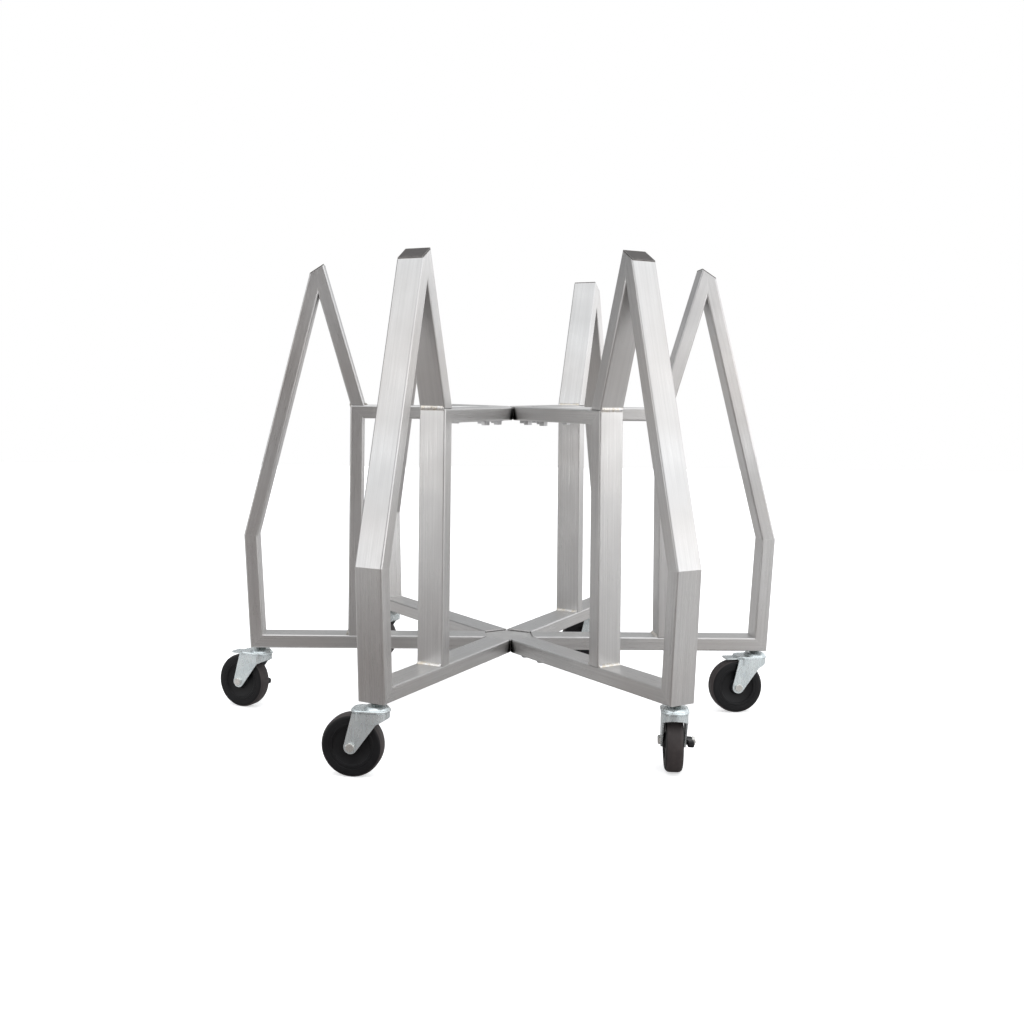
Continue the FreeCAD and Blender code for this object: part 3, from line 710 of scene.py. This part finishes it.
def add_floor():
    bpy.ops.mesh.primitive_plane_add(size=FLOOR_SIZE, location=(0, 0, FLOOR_Z))
    floor = bpy.context.object
    floor.name = "pale_floor"
    floor.data.materials.append(pale_floor())


def soft_light(name, place, target, size, power):
    """Rectangular area light turned to face its target."""
    data = bpy.data.lights.new(name, "AREA")
    data.shape = "RECTANGLE"
    data.size, data.size_y = size
    data.energy = power
    light = bpy.data.objects.new(name, data)
    bpy.context.scene.collection.objects.link(light)
    light.location = place
    light.rotation_euler = (Vector(target) - Vector(place)).to_track_quat("-Z", "Y").to_euler()


def add_lights():
    soft_light("top_box", (0.2, -0.6, 2.6), (0, 0, 0), (3.0, 2.2), 9)
    soft_light("left_box", (-2.8, -1.4, 1.0), (0, 0, -0.1), (1.6, 2.4), 3)
    soft_light("right_box", (2.8, -1.0, 1.2), (0, 0, -0.1), (1.4, 2.2), 3)


# What the steel reflects, by height of the direction from straight down (0) to straight up (1).
SURROUND = (
    (0.00, (0.44, 0.41, 0.39)),
    (0.38, (0.85, 0.83, 0.82)),
    (0.46, (0.97, 0.97, 0.97)),
    (0.51, (1.00, 1.00, 1.00)),
    (0.57, (0.80, 0.80, 0.81)),
    (0.65, (0.56, 0.57, 0.58)),
    (1.00, (0.58, 0.59, 0.60)),
)
LEFT_STRENGTH = 0.95                # of the right side's
LEFT_TO_RIGHT = (-0.9, 0.5)         # x of the direction, over which one passes into the other
FRONT_STRENGTH = 2.15
BACK_STRENGTH = 1.5
FRONT_TO_BACK = (-0.35, 0.25)       # y of the direction, over which one passes into the other
# Dim parts of the surround: direction, cosines where each fades out and is full, strength left.
DIM_PATCHES = (
    ((-0.05, 0.99, 0.1), (0.80, 0.98), 0.46),
    ((-0.87, 0.50, 0.0), (0.60, 0.95), 0.22),
)
DARK_FRONT = (0.09, 0.075, 0.070)   # the unlit room behind the camera
DARK_DIRECTION = (-0.33, -0.944, 0.0)
DARK_EDGE = (0.80, 0.94)            # cosines where it fades out and is full
DARK_TOP = (0.20, 0.60)             # height of the direction where it is full and has faded out


class Surround(NodeBuilder):
    """The world's node tree."""

    def __init__(self, tree):
        super().__init__(tree)
        self.direction = self.add("ShaderNodeTexCoord").outputs["Generated"]
        self.x, self.y, self.z = self.split(self.direction)

    def smooth(self, value, span, out_low, out_high):
        return self.fit(value, *span, out_low, out_high, "SMOOTHSTEP")

    def patch(self, direction, edge, outside, inside):
        """One value round a direction passing into another outside it."""
        sockets = {0: self.direction, 1: direction}
        toward = self.add("ShaderNodeVectorMath", sockets, operation="DOT_PRODUCT").outputs["Value"]
        return self.smooth(toward, edge, outside, inside)

    def color(self):
        """The surround's colour by height."""
        ramp = self.add("ShaderNodeValToRGB", {0: self.fit(self.z, -1.0, 1.0, 0.0, 1.0)})
        stops = ramp.color_ramp.elements
        stops[0].color = (*SURROUND[0][1], 1)
        stops[1].color = (*SURROUND[-1][1], 1)
        for position, color in SURROUND[1:-1]:
            stops.new(position).color = (*color, 1)
        return ramp.outputs[0]

    def strength(self):
        sideways = self.smooth(self.x, LEFT_TO_RIGHT, LEFT_STRENGTH, 1.0)
        lengthways = self.smooth(self.y, FRONT_TO_BACK, FRONT_STRENGTH, BACK_STRENGTH)
        total = self.math("MULTIPLY", sideways, lengthways)
        for direction, edge, strength_left in DIM_PATCHES:
            total = self.math("MULTIPLY", total, self.patch(direction, edge, 1.0, strength_left))
        return total

    def background(self, color, strength=1.0):
        return self.add("ShaderNodeBackground", {"Color": color, "Strength": strength}).outputs[0]

    def mix(self, factor, a, b):
        return self.add("ShaderNodeMixShader", {0: factor, 1: a, 2: b}).outputs[0]


def add_world():
    """White to the camera; reflections see it brightest level and in front, dark behind the camera."""
    world = bpy.data.worlds.new("studio")
    bpy.context.scene.world = world
    world.use_nodes = True
    s = Surround(world.node_tree)
    below_top = s.smooth(s.z, DARK_TOP, 1.0, 0.0)
    dark = s.math("MULTIPLY", s.patch(DARK_DIRECTION, DARK_EDGE, 0.0, 1.0), below_top)
    room = s.mix(dark, s.background(s.color(), s.strength()), s.background((*DARK_FRONT, 1)))
    surface = s.mix(s.camera_ray(), room, s.background((1, 1, 1, 1)))
    s.add("ShaderNodeOutputWorld", {"Surface": surface})


CAMERA_DISTANCE = 2.365             # from the centre axis
CAMERA_ABOVE_ARMS = 0.5017          # above the lower arms' underside
CAMERA_SWING = math.radians(-4.1)   # about the centre axis, from looking along +Y
CAMERA_YAW = math.radians(-3.143)
CAMERA_PITCH = math.radians(0.146)  # downward
CAMERA_ROLL = math.radians(-0.61)
LENS_MM = 43.15
SENSOR_MM = 36.0
LENS_SHIFT = (0.0665, -0.1205)


def add_camera():
    """Camera level but for its small pitch and roll, swung about the centre axis."""
    data = bpy.data.cameras.new("camera")
    data.lens = LENS_MM
    data.sensor_width = SENSOR_MM
    data.shift_x, data.shift_y = LENS_SHIFT
    camera = bpy.data.objects.new("camera", data)
    bpy.context.scene.collection.objects.link(camera)

    level = Vector((math.sin(CAMERA_YAW), math.cos(CAMERA_YAW), 0))
    right = Vector((math.cos(CAMERA_YAW), -math.sin(CAMERA_YAW), 0))
    up = Vector((0, 0, 1))
    forward = level * math.cos(CAMERA_PITCH) - up * math.sin(CAMERA_PITCH)
    down = -(up * math.cos(CAMERA_PITCH) + level * math.sin(CAMERA_PITCH))
    rolled_right = right * math.cos(CAMERA_ROLL) + down * math.sin(CAMERA_ROLL)
    rolled_down = down * math.cos(CAMERA_ROLL) - right * math.sin(CAMERA_ROLL)
    axes = Matrix((rolled_right, -rolled_down, -forward)).transposed().to_4x4()
    axes.translation = Vector((0, -CAMERA_DISTANCE, ARM_UNDERSIDE + CAMERA_ABOVE_ARMS))
    camera.matrix_world = Matrix.Rotation(CAMERA_SWING, 4, "Z") @ axes
    bpy.context.scene.camera = camera


# ---------------------------------------------------------------- assembly
beads = mesh_piece("weld_beads_rippled", weld_beads, MATERIALS["weld"], 50)
stands_for(beads, "weld_beads", "frame")
add_casters()
dress_frame()
add_floor()
add_lights()
add_world()
add_camera()
bpy.context.scene.view_settings.view_transform = "Standard"
